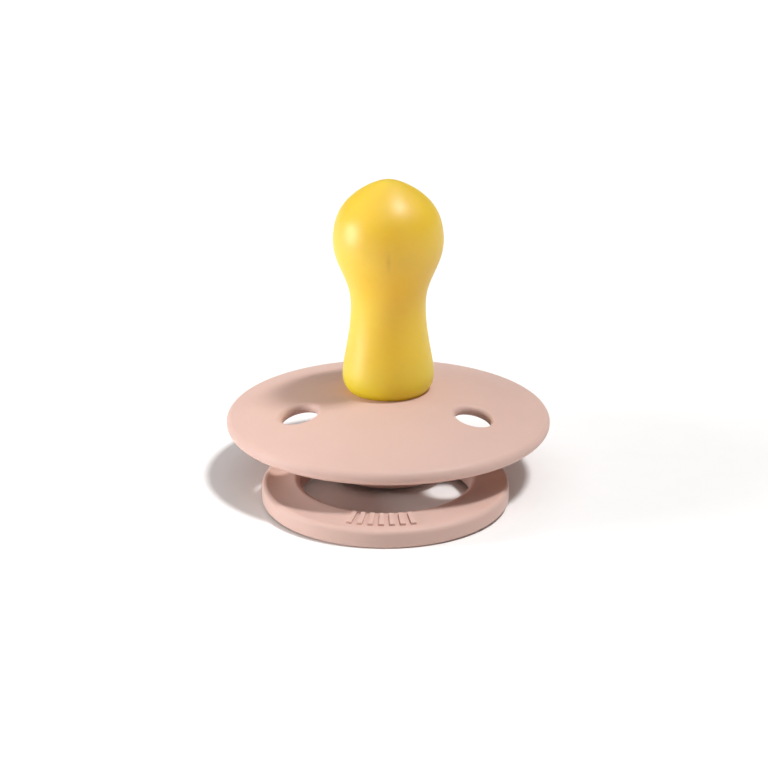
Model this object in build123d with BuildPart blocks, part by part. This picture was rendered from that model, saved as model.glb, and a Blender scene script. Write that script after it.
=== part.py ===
from build123d import *

import os
from math import asin, atan2, cos, radians, sin, sqrt

# Soother with a round domed shield, a hollow cherry-shaped teat and a ring handle hinged on its knob.
# Millimetres. +Z runs up the teat's axis, and the ring is folded forward, towards -Y.
# The origin is the centre of the flat on the knob, on which the soother stands.

# ---- Driving dimensions ----

# Shield: a domed shell with a thicker, fully rounded rim.
SHIELD_RADIUS = 21.5
RIM_THICKNESS = 2.0
RIM_HEIGHT = 7.8
DOME_RADIUS = 57.0
SHELL_THICKNESS = 1.5
VENT_COUNT = 3
VENT_RADIUS = 2.35
VENT_CIRCLE_RADIUS = 13.1
VENT_ROUNDING = 0.65

# Centre of the shield: the teat's bore, its clamping seat and the collar for the plug.
BORE_RADIUS = 5.2
SEAT_HEIGHT = 10.3
COLLAR_RADIUS = 8.0
COLLAR_BORE_RADIUS = 6.9
COLLAR_BOTTOM = 6.2
COLLAR_ROUNDING = 0.8
LIP_DEPTH = 0.35
LIP_TOP = 7.5
LIP_BOTTOM = 7.0

# Teat: radius and height of each turn of its outline, from the shield's surface to the edge of the nub.
TEAT_ROOT = (5.1, 12.3)
TEAT_HEM = (5.72, 13.1)
TEAT_BULGE = (6.01, 15.2)
TEAT_WAIST = (5.3, 19.7)
TEAT_NECK = (4.94, 24.0)
TEAT_FLARE = (5.45, 27.15)
TEAT_CHEEK = (6.76, 30.4)
TEAT_BULB = (7.27, 33.3)
TEAT_SHOULDER = (5.9, 37.8)
TEAT_NUB = (2.4, 40.5)
TEAT_TIP_HEIGHT = 41.2
TEAT_WALL = 1.1
TEAT_CURVE_TENSION = 1.5
BEAD_RADIUS = 6.7
BEAD_THICKNESS = 1.2

# Plug: stem in the teat, clamping flange, and a boss that the button snaps over.
STEM_RADIUS = 3.95
STEM_TOP = 13.0
STEM_ROUNDING = 0.8
FLANGE_RADIUS = 6.8
FLANGE_BOTTOM = 7.6
BOSS_RADIUS = 5.9
SNAP_HEIGHT = 4.9
SNAP_DEPTH = 0.2
EAR_CLEARANCE = 0.06
EAR_REACH = 7.7

# Button: the domed cap of the knob.
BUTTON_RADIUS = 8.0
BUTTON_DOME_RADIUS = 23.0
BUTTON_FLAT_RADIUS = 3.2
BUTTON_ROUNDING = 0.6
BUTTON_CAVITY_RADIUS = 5.95

# Ring: a round band with a dished top that falls outward, and two arms that reach back to the axle.
RING_OUTER_RADIUS = 16.2
RING_INNER_RADIUS = 11.15
RING_CENTRE_REACH = 9.4
RING_INNER_HEIGHT = 3.3
RING_OUTER_HEIGHT = 2.55
RING_DISH_DEPTH = 0.4
RING_TILT = 2.0
RING_AXLE_LEVEL = 1.7
RING_TOP_ROUNDING = 0.65
RING_EDGE_ROUNDING = 0.4
ARM_INNER = 8.4
ARM_END_REACH = 2.7
ARM_END_ROUNDING = 1.1
NOTCH_ROUNDING = 2.0
AXLE_RADIUS = 1.2
AXLE_CLEARANCE = 0.06

# Raised grip ribs in the dish at the front of the ring.
RIB_COUNT = 7
RIB_PITCH_DEG = 5.6
RIB_WIDTH_DEG = 2.6
RIB_START = 12.1
RIB_END = 14.5
RIB_HEIGHT = 0.3

# Lengths closer than this are taken as the same when an edge or face is looked up.
SAME = 0.01

# ---- Shapes worked out from them ----

rim_round = RIM_THICKNESS / 2
rim_centre = SHIELD_RADIUS - rim_round
dome_reach = sqrt((DOME_RADIUS - rim_round) ** 2 - rim_centre**2)
dome_centre = RIM_HEIGHT - dome_reach
rim_lean = asin(rim_centre / (DOME_RADIUS - rim_round))

tilt = radians(RING_TILT)
ring_front_foot = RING_CENTRE_REACH + RING_OUTER_RADIUS - RING_EDGE_ROUNDING
hinge_height = RING_AXLE_LEVEL * cos(tilt) + ring_front_foot * sin(tilt)
axle_hole_radius = AXLE_RADIUS + AXLE_CLEARANCE
button_centre = sqrt(BUTTON_DOME_RADIUS**2 - BUTTON_FLAT_RADIUS**2)


def dome_height(radius):
    """Height of the shield's outer face at a distance from the axis."""
    return dome_centre + sqrt(DOME_RADIUS**2 - radius**2)


def button_face(radius):
    """Height of the button's domed face at a distance from the axis."""
    return button_centre - sqrt(BUTTON_DOME_RADIUS**2 - radius**2)


os.makedirs("parts", exist_ok=True)

# ---- Shield ----

with BuildPart() as shield:
    with BuildSketch(Plane.XZ):
        with BuildLine():
            top_inner = (BORE_RADIUS, dome_height(BORE_RADIUS))
            top_middle = (SHIELD_RADIUS / 2, dome_height(SHIELD_RADIUS / 2))
            top_rim = (rim_centre + rim_round * sin(rim_lean), RIM_HEIGHT + rim_round * cos(rim_lean))
            rim_edge = (rim_centre + rim_round * cos(rim_lean), RIM_HEIGHT - rim_round * sin(rim_lean))
            under_rim = (rim_centre - rim_round * sin(rim_lean), RIM_HEIGHT - rim_round * cos(rim_lean))
            under_middle = (VENT_CIRCLE_RADIUS, dome_height(VENT_CIRCLE_RADIUS) - SHELL_THICKNESS)
            under_collar = (COLLAR_RADIUS, dome_height(COLLAR_RADIUS) - SHELL_THICKNESS)
            ThreePointArc(top_inner, top_middle, top_rim)
            ThreePointArc(top_rim, rim_edge, under_rim)
            ThreePointArc(under_rim, under_middle, under_collar)
            Polyline(
                under_collar,
                (COLLAR_RADIUS, COLLAR_BOTTOM),
                (COLLAR_BORE_RADIUS, COLLAR_BOTTOM),
                (COLLAR_BORE_RADIUS, LIP_BOTTOM),
                (COLLAR_BORE_RADIUS - LIP_DEPTH, (LIP_BOTTOM + LIP_TOP) / 2),
                (COLLAR_BORE_RADIUS, LIP_TOP),
                (COLLAR_BORE_RADIUS, SEAT_HEIGHT),
                (BORE_RADIUS, SEAT_HEIGHT),
                top_inner,
            )
        make_face()
    revolve(axis=Axis.Z)
    collar_root = shield.edges().filter_by(GeomType.CIRCLE).filter_by(
        lambda edge: abs(edge.radius - COLLAR_RADIUS) < SAME and edge.center().Z > LIP_TOP
    )
    fillet(collar_root, radius=COLLAR_ROUNDING)
    with BuildSketch(Plane.XY):
        with PolarLocations(VENT_CIRCLE_RADIUS, VENT_COUNT, start_angle=90):
            Circle(VENT_RADIUS)
    extrude(amount=dome_height(0), mode=Mode.SUBTRACT)
    vent_faces = shield.faces().filter_by(GeomType.CYLINDER).filter_by(
        lambda face: abs(face.radius - VENT_RADIUS) < SAME
    )
    fillet(vent_faces.edges().filter_by(GeomType.LINE, reverse=True), radius=VENT_ROUNDING)

# ---- Teat ----

base_points = [TEAT_ROOT, TEAT_HEM, TEAT_BULGE, TEAT_WAIST, TEAT_NECK]
side_points = [*base_points, TEAT_FLARE, TEAT_CHEEK, TEAT_BULB, TEAT_SHOULDER]
inner_side_points = [(radius - TEAT_WALL, height) for radius, height in side_points]
# The nub is part of a sphere, so its edge slopes twice as much as the chord up to the tip.
nub_slope = 2 * atan2(TEAT_TIP_HEIGHT - TEAT_NUB[1], TEAT_NUB[0])
nub_tangent = (-cos(nub_slope), sin(nub_slope))
root_tangent = (1, 0.8)
inner_nub = (TEAT_NUB[0] - TEAT_WALL * sin(nub_slope), TEAT_NUB[1] - TEAT_WALL * cos(nub_slope))
inner_tip = (0, TEAT_TIP_HEIGHT - TEAT_WALL)
bead_bottom = SEAT_HEIGHT - BEAD_THICKNESS
ends_tension = (TEAT_CURVE_TENSION, TEAT_CURVE_TENSION)

with BuildPart() as teat:
    with BuildSketch(Plane.XZ):
        with BuildLine():
            Spline(*side_points, TEAT_NUB, tangents=[root_tangent, nub_tangent], tangent_scalars=ends_tension)
            TangentArc(TEAT_NUB, (0, TEAT_TIP_HEIGHT), tangent=nub_tangent)
            Line((0, TEAT_TIP_HEIGHT), inner_tip)
            TangentArc(inner_nub, inner_tip, tangent=nub_tangent)
            Spline(
                *inner_side_points,
                inner_nub,
                tangents=[root_tangent, nub_tangent],
                tangent_scalars=ends_tension,
            )
            Polyline(
                inner_side_points[0],
                (inner_side_points[0][0], bead_bottom),
                (BEAD_RADIUS, bead_bottom),
                (BEAD_RADIUS, SEAT_HEIGHT),
                (TEAT_ROOT[0], SEAT_HEIGHT),
                TEAT_ROOT,
            )
        make_face()
    revolve(axis=Axis.Z)

# ---- Plug ----

boss_bottom = hinge_height - AXLE_RADIUS
ear_width = 2 * (axle_hole_radius - EAR_CLEARANCE)

with BuildPart() as plug:
    with BuildSketch(Plane.XZ):
        with BuildLine():
            Polyline(
                (0, boss_bottom),
                (BOSS_RADIUS, boss_bottom),
                (BOSS_RADIUS, SNAP_HEIGHT - SNAP_DEPTH),
                (BOSS_RADIUS + SNAP_DEPTH, SNAP_HEIGHT),
                (BOSS_RADIUS, SNAP_HEIGHT + SNAP_DEPTH),
                (BOSS_RADIUS, FLANGE_BOTTOM),
                (FLANGE_RADIUS, FLANGE_BOTTOM),
                (FLANGE_RADIUS, bead_bottom),
                (STEM_RADIUS, bead_bottom),
                (STEM_RADIUS, STEM_TOP),
                (0, STEM_TOP),
                (0, boss_bottom),
            )
        make_face()
    revolve(axis=Axis.Z)
    fillet(plug.edges().filter_by(GeomType.CIRCLE).group_by(Axis.Z)[-1], radius=STEM_ROUNDING)
    # Two ears fill the button's slots above the axle.
    with BuildSketch(Plane.YZ):
        with Locations((0, (hinge_height + COLLAR_BOTTOM) / 2)):
            Rectangle(ear_width, COLLAR_BOTTOM - hinge_height)
    extrude(amount=EAR_REACH, both=True)
    # The saddle: a slot open downward that the axle lies in.
    with BuildSketch(Plane.YZ):
        with Locations((0, hinge_height)):
            Circle(axle_hole_radius)
        with Locations((0, hinge_height - axle_hole_radius)):
            Rectangle(2 * axle_hole_radius, 2 * axle_hole_radius)
    extrude(amount=BUTTON_RADIUS, both=True, mode=Mode.SUBTRACT)

# ---- Button ----

cavity_floor = hinge_height - axle_hole_radius

with BuildPart() as button:
    with BuildSketch(Plane.XZ):
        with BuildLine():
            middle_radius = (BUTTON_FLAT_RADIUS + BUTTON_RADIUS) / 2
            face_middle = (middle_radius, button_face(middle_radius))
            Line((0, 0), (BUTTON_FLAT_RADIUS, 0))
            ThreePointArc((BUTTON_FLAT_RADIUS, 0), face_middle, (BUTTON_RADIUS, button_face(BUTTON_RADIUS)))
            Polyline(
                (BUTTON_RADIUS, button_face(BUTTON_RADIUS)),
                (BUTTON_RADIUS, COLLAR_BOTTOM),
                (BUTTON_CAVITY_RADIUS, COLLAR_BOTTOM),
                (BUTTON_CAVITY_RADIUS, SNAP_HEIGHT + SNAP_DEPTH),
                (BUTTON_CAVITY_RADIUS + SNAP_DEPTH, SNAP_HEIGHT),
                (BUTTON_CAVITY_RADIUS, SNAP_HEIGHT - SNAP_DEPTH),
                (BUTTON_CAVITY_RADIUS, cavity_floor),
                (0, cavity_floor),
                (0, 0),
            )
        make_face()
    revolve(axis=Axis.Z)
    rounded_edge = button.edges().filter_by(GeomType.CIRCLE).filter_by(
        lambda edge: abs(edge.radius - BUTTON_RADIUS) < SAME and edge.center().Z < hinge_height
    )
    fillet(rounded_edge, radius=BUTTON_ROUNDING)
    # Slots open upward let the axle in from the back of the shield.
    with BuildSketch(Plane.YZ):
        with Locations((0, hinge_height)):
            Circle(axle_hole_radius)
        with Locations((0, (hinge_height + COLLAR_BOTTOM) / 2)):
            Rectangle(2 * axle_hole_radius, COLLAR_BOTTOM - hinge_height)
    extrude(amount=BUTTON_RADIUS, both=True, mode=Mode.SUBTRACT)

# ---- Ring ----

# The ring lies in a plane through the axle that dips to the ground at the front.
ring_plane = Plane(origin=(0, 0, hinge_height), x_dir=(1, 0, 0), z_dir=(0, -sin(tilt), cos(tilt)))
ring_bottom = ring_plane.offset(-RING_AXLE_LEVEL)
ring_centre = ring_bottom.from_local_coords((0, -RING_CENTRE_REACH, 0))
ring_axis = Axis(ring_centre, ring_plane.z_dir)
section_plane = Plane(origin=ring_centre, x_dir=(1, 0, 0), z_dir=-ring_plane.y_dir)


def ring_top(radius):
    """Height of the ring's dished top above its underside, at a distance from its centre."""
    across = (radius - RING_INNER_RADIUS) / (RING_OUTER_RADIUS - RING_INNER_RADIUS)
    chord = RING_INNER_HEIGHT + (RING_OUTER_HEIGHT - RING_INNER_HEIGHT) * across
    return chord - 4 * RING_DISH_DEPTH * across * (1 - across)


def ring_level(edge, share):
    """Height above the ring's underside of the point at a share of an edge's length."""
    return ring_bottom.to_local_coords(edge @ share).Z


with BuildPart() as ring:
    with BuildSketch(section_plane):
        with BuildLine():
            Polyline(
                (RING_INNER_RADIUS, RING_INNER_HEIGHT),
                (RING_INNER_RADIUS, 0),
                (RING_OUTER_RADIUS, 0),
                (RING_OUTER_RADIUS, RING_OUTER_HEIGHT),
            )
            middle_radius = (RING_INNER_RADIUS + RING_OUTER_RADIUS) / 2
            ThreePointArc(
                (RING_OUTER_RADIUS, RING_OUTER_HEIGHT),
                (middle_radius, ring_top(middle_radius)),
                (RING_INNER_RADIUS, RING_INNER_HEIGHT),
            )
        make_face()
    revolve(axis=ring_axis)
    # The band is open at the back: a straight-sided gap for the knob, and nothing behind the arms' ends.
    with BuildSketch(ring_bottom):
        with Locations((0, (ARM_END_REACH - RING_CENTRE_REACH) / 2)):
            Rectangle(2 * ARM_INNER, ARM_END_REACH + RING_CENTRE_REACH)
        with Locations((0, ARM_END_REACH + RING_OUTER_RADIUS / 2)):
            Rectangle(2 * RING_OUTER_RADIUS, RING_OUTER_RADIUS)
    extrude(amount=RING_INNER_HEIGHT, mode=Mode.SUBTRACT)
    arm_ends = ring.faces().filter_by(Axis(ring_centre, ring_plane.y_dir)).sort_by(Axis.Y)[-2:]
    fillet(arm_ends.edges().filter_by(ring_axis), radius=ARM_END_ROUNDING)
    arm_sides = ring.faces().filter_by(Axis.X)
    fillet(arm_sides.edges().filter_by(ring_axis).sort_by(Axis.Y)[:2], radius=NOTCH_ROUNDING)
    half_up = RING_OUTER_HEIGHT / 2
    top_loop = ring.edges().filter_by(lambda edge: abs(ring_level(edge, 0.5) - ring_level(edge, 0)) < half_up)
    fillet(top_loop.filter_by(lambda edge: ring_level(edge, 0.5) > half_up), radius=RING_TOP_ROUNDING)
    fillet(ring.edges().filter_by(lambda edge: ring_level(edge, 0.5) < SAME), radius=RING_EDGE_ROUNDING)
    # The axle joins the two arms.
    with BuildSketch(Plane.YZ):
        with Locations((0, hinge_height)):
            Circle(AXLE_RADIUS)
    extrude(amount=ARM_INNER + AXLE_RADIUS, both=True)
    # Each grip rib is a short turn of a slim band that stands proud of the dished top.
    for rib in range(RIB_COUNT):
        start = radians((rib - (RIB_COUNT - 1) / 2) * RIB_PITCH_DEG - RIB_WIDTH_DEG / 2)
        outward = ring_plane.x_dir * sin(start) - ring_plane.y_dir * cos(start)
        with BuildSketch(Plane(ring_centre, x_dir=outward, z_dir=outward.cross(ring_plane.z_dir))):
            with BuildLine():
                Polyline(
                    (RIB_START, ring_top(RIB_START) - RIB_HEIGHT),
                    (RIB_END, ring_top(RIB_END) - RIB_HEIGHT),
                    (RIB_END, ring_top(RIB_END) + RIB_HEIGHT),
                    ((RIB_START + RIB_END) / 2, ring_top((RIB_START + RIB_END) / 2) + RIB_HEIGHT),
                    (RIB_START, ring_top(RIB_START) + RIB_HEIGHT),
                    close=True,
                )
            make_face()
        revolve(axis=ring_axis, revolution_arc=RIB_WIDTH_DEG)

ring.part.label = "ring"
for name, piece in {"shield": shield, "teat": teat, "plug": plug, "button": button, "ring": ring}.items():
    piece.part.label = name
    export_step(piece.part, f"parts/{name}.step")
    print(name, piece.part.volume)
print("hinge height", hinge_height)
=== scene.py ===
import math

import bmesh
import bpy
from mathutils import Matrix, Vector


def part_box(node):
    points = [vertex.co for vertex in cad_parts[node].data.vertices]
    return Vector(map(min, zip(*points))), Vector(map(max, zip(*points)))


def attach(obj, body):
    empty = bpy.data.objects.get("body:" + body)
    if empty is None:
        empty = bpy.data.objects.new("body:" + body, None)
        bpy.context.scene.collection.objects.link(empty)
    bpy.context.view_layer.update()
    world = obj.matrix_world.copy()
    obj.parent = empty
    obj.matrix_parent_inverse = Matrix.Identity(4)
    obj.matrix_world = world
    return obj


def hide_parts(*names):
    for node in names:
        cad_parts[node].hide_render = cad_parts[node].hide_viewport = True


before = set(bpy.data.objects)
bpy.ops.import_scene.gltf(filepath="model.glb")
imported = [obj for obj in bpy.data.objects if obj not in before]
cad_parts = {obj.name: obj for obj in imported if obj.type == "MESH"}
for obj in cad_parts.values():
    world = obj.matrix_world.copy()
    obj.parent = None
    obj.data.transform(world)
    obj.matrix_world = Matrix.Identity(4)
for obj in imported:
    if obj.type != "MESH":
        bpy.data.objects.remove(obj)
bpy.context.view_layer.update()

# A pacifier standing on its knob, its teat up and its ring folded forward. Metres, in the part's own frame.

teat_lo, teat_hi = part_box("teat")
MM = 0.001

# ---- Node material helpers ----


def new_material(name):
    """An empty node material with its output and a Principled shader already joined."""
    material = bpy.data.materials.new(name)
    material.use_nodes = True
    tree = material.node_tree
    shader = tree.nodes["Principled BSDF"]
    return material, tree, shader


def add(tree, kind, **settings):
    """Adds a node, and sets its properties and, where the name is a socket's, that socket's value."""
    node = tree.nodes.new(kind)
    for name, value in settings.items():
        if name in node.inputs:
            node.inputs[name].default_value = value
        else:
            setattr(node, name, value)
    return node


def noise(tree, scale, detail=2.0, roughness=0.5, coordinates=None):
    """Noise in the object's own metres: one feature is about 1 / scale metres across."""
    if coordinates is None:
        coordinates = tree.nodes.get("Texture Coordinate") or tree.nodes.new("ShaderNodeTexCoord")
    node = add(tree, "ShaderNodeTexNoise", Scale=scale, Detail=detail, Roughness=roughness)
    tree.links.new(coordinates.outputs["Object"], node.inputs["Vector"])
    return node.outputs["Fac"]


def remap(tree, value, low, high, from_low=0.3, from_high=0.7):
    """Stretches a 0..1 value between two limits."""
    node = add(tree, "ShaderNodeMapRange")
    node.inputs["From Min"].default_value = from_low
    node.inputs["From Max"].default_value = from_high
    node.inputs["To Min"].default_value = low
    node.inputs["To Max"].default_value = high
    tree.links.new(value, node.inputs["Value"])
    return node.outputs["Result"]


def ramp(tree, value, stops):
    """A colour ramp with (place, colour) stops."""
    node = tree.nodes.new("ShaderNodeValToRGB")
    elements = node.color_ramp.elements
    while len(elements) < len(stops):
        elements.new(0.5)
    for element, (place, colour) in zip(elements, stops):
        element.position = place
        element.color = (*colour, 1.0)
    tree.links.new(value, node.inputs["Fac"])
    return node.outputs["Color"]


def bump(tree, height, distance, strength=1.0, normal=None):
    """A bump whose full height is distance metres."""
    node = add(tree, "ShaderNodeBump", Strength=strength, Distance=distance)
    tree.links.new(height, node.inputs["Height"])
    if normal is not None:
        tree.links.new(normal, node.inputs["Normal"])
    return node.outputs["Normal"]


def multiply(tree, first, second):
    """The product of two values."""
    node = add(tree, "ShaderNodeMath", operation="MULTIPLY")
    tree.links.new(first, node.inputs[0])
    tree.links.new(second, node.inputs[1])
    return node.outputs["Value"]


def band(tree, coordinate, centre, half_width):
    """1 where a coordinate is at the centre, falling to 0 at half_width metres each side of it."""
    away = add(tree, "ShaderNodeMath", operation="SUBTRACT")
    tree.links.new(coordinate, away.inputs[0])
    away.inputs[1].default_value = centre
    size = add(tree, "ShaderNodeMath", operation="ABSOLUTE")
    tree.links.new(away.outputs["Value"], size.inputs[0])
    return remap(tree, size.outputs["Value"], 1.0, 0.0, 0.0, half_width)


def shade(colour, factor):
    """A lighter or darker copy of a colour."""
    return tuple(min(1.0, channel * factor) for channel in colour)


# ---- Materials ----

DUSTY_PINK = (0.70, 0.48, 0.415)
INNER_IVORY = (0.80, 0.74, 0.66)
# Painted light in the latex: the bulb amber is painted darker where the top light falls, and the root amber
# is painted lighter as a painted glow in the shaded undercut. Its deeper hue at the root is the latex's own.
BULB_AMBER_PAINTED_SHADE = (0.87, 0.59, 0.055)
NECK_AMBER = (0.96, 0.65, 0.045)
ROOT_AMBER_PAINTED_GLOW = (1.0, 0.66, 0.01)
DRIP_TINT = (0.86, 0.84, 0.80)

# Where the drip mark lies on the bulb, in millimetres.
DRIP_SIDE = 0.3
DRIP_HALF_WIDTH = 0.45
DRIP_HEIGHT = 32.3
DRIP_HALF_LENGTH = 1.9
DRIP_FADE = 5.0


def moulded_plastic(name, colour):
    """Satin polypropylene: a fine eroded grain, faint flow marks, and a little light under the surface."""
    material, tree, shader = new_material(name)
    flow = noise(tree, 90.0, detail=3.0)
    tint = ramp(tree, flow, [(0.3, shade(colour, 0.975)), (0.7, shade(colour, 1.02))])
    tree.links.new(tint, shader.inputs["Base Color"])
    fine = noise(tree, 5200.0, detail=2.0)
    coarse = noise(tree, 1500.0, detail=3.0, roughness=0.6)
    tree.links.new(remap(tree, coarse, 0.46, 0.56), shader.inputs["Roughness"])
    rough_normal = bump(tree, coarse, 0.012 * MM, strength=0.6)
    grain_normal = bump(tree, fine, 0.006 * MM, strength=0.5, normal=rough_normal)
    tree.links.new(grain_normal, shader.inputs["Normal"])
    shader.inputs["IOR"].default_value = 1.49
    shader.inputs["Specular IOR Level"].default_value = 0.3
    shader.inputs["Subsurface Weight"].default_value = 0.12
    shader.inputs["Subsurface Radius"].default_value = (1.0, 0.45, 0.3)
    shader.inputs["Subsurface Scale"].default_value = 1.2 * MM
    return material


def latex(name):
    """Translucent natural latex: amber, its own hue deeper at the root and painted lighter there as a painted
    glow in the shaded undercut, painted darker on the bulb where the top light falls, with a satin dipped
    skin.
    """
    material, tree, shader = new_material(name)
    coordinates = tree.nodes.new("ShaderNodeTexCoord")
    split = tree.nodes.new("ShaderNodeSeparateXYZ")
    tree.links.new(coordinates.outputs["Object"], split.inputs["Vector"])
    height = remap(tree, split.outputs["Z"], 0.0, 1.0, TEAT_OUTLINE[0][1] * MM, teat_hi.z)
    # The height ramp holds painted light: the root stop is a painted glow in the shaded undercut, and the
    # bulb stop is painted shade under the top light.
    stops = [(0.03, ROOT_AMBER_PAINTED_GLOW), (0.14, NECK_AMBER), (0.45, NECK_AMBER), (0.8, BULB_AMBER_PAINTED_SHADE)]
    cloud = noise(tree, 140.0, detail=3.0, coordinates=coordinates)
    mottle = ramp(tree, cloud, [(0.3, (0.97, 0.96, 0.90)), (0.7, (1.0, 1.0, 1.0))])
    mix = add(tree, "ShaderNodeMix", data_type="RGBA", blend_type="MULTIPLY")
    mix.inputs["Factor"].default_value = 1.0
    # The faint upright drip mark that the dipping leaves on the front of the bulb.
    drip_width = band(tree, split.outputs["X"], DRIP_SIDE * MM, DRIP_HALF_WIDTH * MM)
    drip_length = band(tree, split.outputs["Z"], DRIP_HEIGHT * MM, DRIP_HALF_LENGTH * MM)
    drip_front = remap(tree, split.outputs["Y"], 1.0, 0.0, -DRIP_FADE * MM, 0.0)
    drip = multiply(tree, multiply(tree, drip_width, drip_length), drip_front)
    marked = add(tree, "ShaderNodeMix", data_type="RGBA", blend_type="MULTIPLY")
    tree.links.new(drip, marked.inputs["Factor"])
    tree.links.new(ramp(tree, height, stops), marked.inputs["A"])
    marked.inputs["B"].default_value = (*DRIP_TINT, 1.0)
    tree.links.new(marked.outputs["Result"], mix.inputs["A"])
    tree.links.new(mottle, mix.inputs["B"])
    tree.links.new(mix.outputs["Result"], shader.inputs["Base Color"])
    skin = noise(tree, 420.0, detail=4.0, coordinates=coordinates)
    tree.links.new(remap(tree, skin, 0.40, 0.48), shader.inputs["Roughness"])
    tree.links.new(bump(tree, skin, 0.03 * MM, strength=0.5), shader.inputs["Normal"])
    shader.inputs["IOR"].default_value = 1.52
    shader.inputs["Specular IOR Level"].default_value = 0.6
    shader.inputs["Subsurface Weight"].default_value = 1.0
    shader.inputs["Subsurface Radius"].default_value = (1.0, 0.9, 0.4)
    shader.inputs["Subsurface Scale"].default_value = 8.0 * MM
    shader.inputs["Transmission Weight"].default_value = 0.08
    return material


# ---- Teat ----

# Radius and height of the outline in millimetres, from the shield's surface to the edge of the nub.
TEAT_OUTLINE = [
    (5.1, 12.3),
    (5.72, 13.1),
    (6.01, 15.2),
    (5.3, 19.7),
    (4.94, 24.0),
    (5.45, 27.15),
    (6.76, 30.4),
    (7.27, 33.3),
    (6.62, 36.5),
    (4.75, 38.95),
    (2.4, 40.5),
]
BEAD_RADIUS = 6.7
BEAD_THICKNESS = 1.2
TURNS = 256


def lathe(name, profile):
    """Revolves a profile of (radius, height) in millimetres about Z. It may touch the axis."""
    mesh = bmesh.new()
    rings = []
    for radius, height in profile:
        turns = TURNS if radius > 1e-6 else 1
        angles = (2 * math.pi * turn / turns for turn in range(turns))
        places = ((radius * math.cos(a) * MM, radius * math.sin(a) * MM, height * MM) for a in angles)
        rings.append([mesh.verts.new(place) for place in places])
    for lower, upper in zip(rings, rings[1:]):
        for turn in range(TURNS if len(lower) + len(upper) > 2 else 0):
            corners = [lower[turn % len(lower)], lower[(turn + 1) % len(lower)]]
            corners += [upper[(turn + 1) % len(upper)], upper[turn % len(upper)]]
            mesh.faces.new(list(dict.fromkeys(corners)))
    bmesh.ops.remove_doubles(mesh, verts=mesh.verts, dist=1e-7)
    bmesh.ops.recalc_face_normals(mesh, faces=mesh.faces)
    data = bpy.data.meshes.new(name)
    mesh.to_mesh(data)
    mesh.free()
    data.shade_smooth()
    piece = bpy.data.objects.new(name, data)
    bpy.context.scene.collection.objects.link(piece)
    return piece


def smooth_through(points, steps):
    """Points along the cubic B-spline that passes through the given ones."""
    control = points
    for _ in range(60):
        inner = [(6 * q - before - after) / 4 for before, q, after in zip(control, points[1:], control[2:])]
        control = [points[0], *inner, points[-1]]
    control = [2 * control[0] - control[1], *control, 2 * control[-1] - control[-2]]
    curve = []
    for a, b, c, d in zip(control, control[1:], control[2:], control[3:]):
        for step in range(steps):
            t = step / steps
            ahead = (3 * t**3 - 6 * t**2 + 4) * b + (-3 * t**3 + 3 * t**2 + 3 * t + 1) * c
            curve.append(((1 - t) ** 3 * a + ahead + t**3 * d) / 6)
    return [*curve, points[-1]]


def teat_profile():
    """The teat's outer skin, from the foot of its bead to the tip. There is no inner skin."""
    steps = 12
    tip = Vector((0, teat_hi.z / MM))
    rise = [Vector(point) for point in TEAT_OUTLINE]
    fall = [Vector((-point.x, point.y)) for point in reversed(rise)]
    skin = smooth_through([*rise, tip, *fall], steps)[: len(rise) * steps]
    bead_bottom = teat_lo.z / MM
    bead_top = bead_bottom + BEAD_THICKNESS
    foot = [(0, bead_bottom), (BEAD_RADIUS, bead_bottom), (BEAD_RADIUS, bead_top), (skin[0].x, bead_top)]
    return [*foot, *skin, (0, tip.y)]


teat = lathe("latex_teat", teat_profile())
teat.data.materials.append(latex("latex"))
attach(teat, "body")
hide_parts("teat")

# ---- Moulded pieces ----

looks = {
    "shield": moulded_plastic("shield_plastic", DUSTY_PINK),
    "ring": moulded_plastic("ring_plastic", DUSTY_PINK),
    "button": moulded_plastic("knob_plastic", DUSTY_PINK),
    "plug": moulded_plastic("plug_plastic", INNER_IVORY),
}
for node, look in looks.items():
    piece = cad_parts[node]
    piece.data.materials.clear()
    piece.data.materials.append(look)

# ---- Studio ----


FLOOR_HALF_SIZE = 3.0


def floor():
    """A plain, flat sheet of pale paper."""
    mesh = bmesh.new()
    bmesh.ops.create_grid(mesh, x_segments=8, y_segments=8, size=FLOOR_HALF_SIZE)
    data = bpy.data.meshes.new("floor")
    mesh.to_mesh(data)
    mesh.free()
    piece = bpy.data.objects.new("floor", data)
    bpy.context.scene.collection.objects.link(piece)
    material, tree, shader = new_material("floor_paper")
    paper = ramp(tree, noise(tree, 300.0), [(0.0, (0.93, 0.925, 0.92)), (1.0, (0.95, 0.945, 0.94))])
    tree.links.new(paper, shader.inputs["Base Color"])
    shader.inputs["Roughness"].default_value = 1.0
    shader.inputs["Specular IOR Level"].default_value = 0.0
    data.materials.append(material)
    return piece


def aim(piece, towards):
    """Turns a light or camera to face a point."""
    piece.rotation_mode = "QUATERNION"
    piece.rotation_quaternion = (Vector(towards) - piece.location).to_track_quat("-Z", "Y")


def sun(name, to_light, strength, angle):
    """A sun in the direction to_light. Its angle in degrees sets how soft its shadows are."""
    data = bpy.data.lights.new(name, "SUN")
    data.energy = strength
    data.angle = math.radians(angle)
    lamp = bpy.data.objects.new(name, data)
    lamp.location = to_light
    bpy.context.scene.collection.objects.link(lamp)
    aim(lamp, (0, 0, 0))


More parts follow.
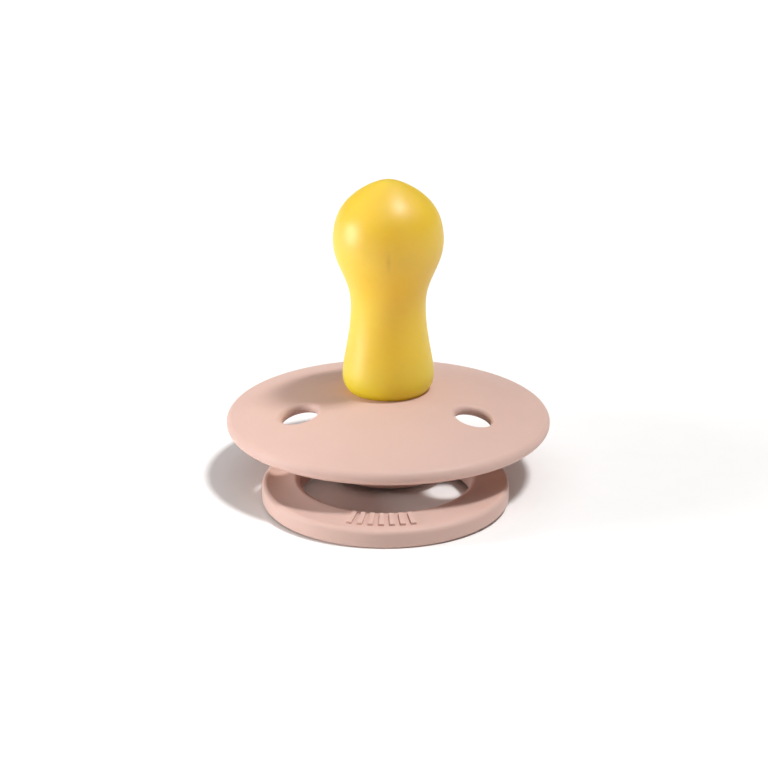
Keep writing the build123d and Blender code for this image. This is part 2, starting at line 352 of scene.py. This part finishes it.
def softbox(name, location, size, power):
    """A rectangular light that faces the middle of the pacifier."""
    data = bpy.data.lights.new(name, "AREA")
    data.shape = "RECTANGLE"
    data.size, data.size_y = size
    data.energy = power
    lamp = bpy.data.objects.new(name, data)
    lamp.location = location
    bpy.context.scene.collection.objects.link(lamp)
    aim(lamp, (0, 0, 0.02))


floor()
sun("key", (0.36, -0.06, 1.0), 2.12, 9.0)
sun("overhead", (0.0, 0.10, 1.0), 1.12, 96.0)
softbox("left_window", (-0.59, -0.09, 0.10), (0.16, 0.22), 2.9)

world = bpy.data.worlds.new("studio")
bpy.context.scene.world = world
world.use_nodes = True
# A dim room for the light, and a white wall where the floor ends.
room = world.node_tree.nodes["Background"]
room.inputs["Color"].default_value = (1.0, 0.985, 0.97, 1.0)
room.inputs["Strength"].default_value = 0.03
wall = add(world.node_tree, "ShaderNodeBackground", Color=(1.0, 1.0, 1.0, 1.0), Strength=1.0)
rays = world.node_tree.nodes.new("ShaderNodeLightPath")
seen = world.node_tree.nodes.new("ShaderNodeMixShader")
world.node_tree.links.new(rays.outputs["Is Camera Ray"], seen.inputs[0])
world.node_tree.links.new(room.outputs[0], seen.inputs[1])
world.node_tree.links.new(wall.outputs[0], seen.inputs[2])
world.node_tree.links.new(seen.outputs[0], world.node_tree.nodes["World Output"].inputs["Surface"])
bpy.context.scene.view_settings.view_transform = "Standard"

# ---- Camera ----

CAMERA_DISTANCE = 0.5
CAMERA_ELEVATION = 20.53
CAMERA_AZIMUTH = 2.2
CAMERA_AIM = (-0.0006, 0.00095, 0.01254)
CAMERA_LENS = 176.4

azimuth = math.radians(CAMERA_AZIMUTH)
elevation = math.radians(CAMERA_ELEVATION)
backwards = Vector(
    (
        math.sin(azimuth) * math.cos(elevation),
        -math.cos(azimuth) * math.cos(elevation),
        math.sin(elevation),
    )
)
camera_data = bpy.data.cameras.new("camera")
camera_data.lens = CAMERA_LENS
camera = bpy.data.objects.new("camera", camera_data)
camera.location = Vector(CAMERA_AIM) + backwards * CAMERA_DISTANCE
bpy.context.scene.collection.objects.link(camera)
aim(camera, CAMERA_AIM)
bpy.context.scene.camera = camera
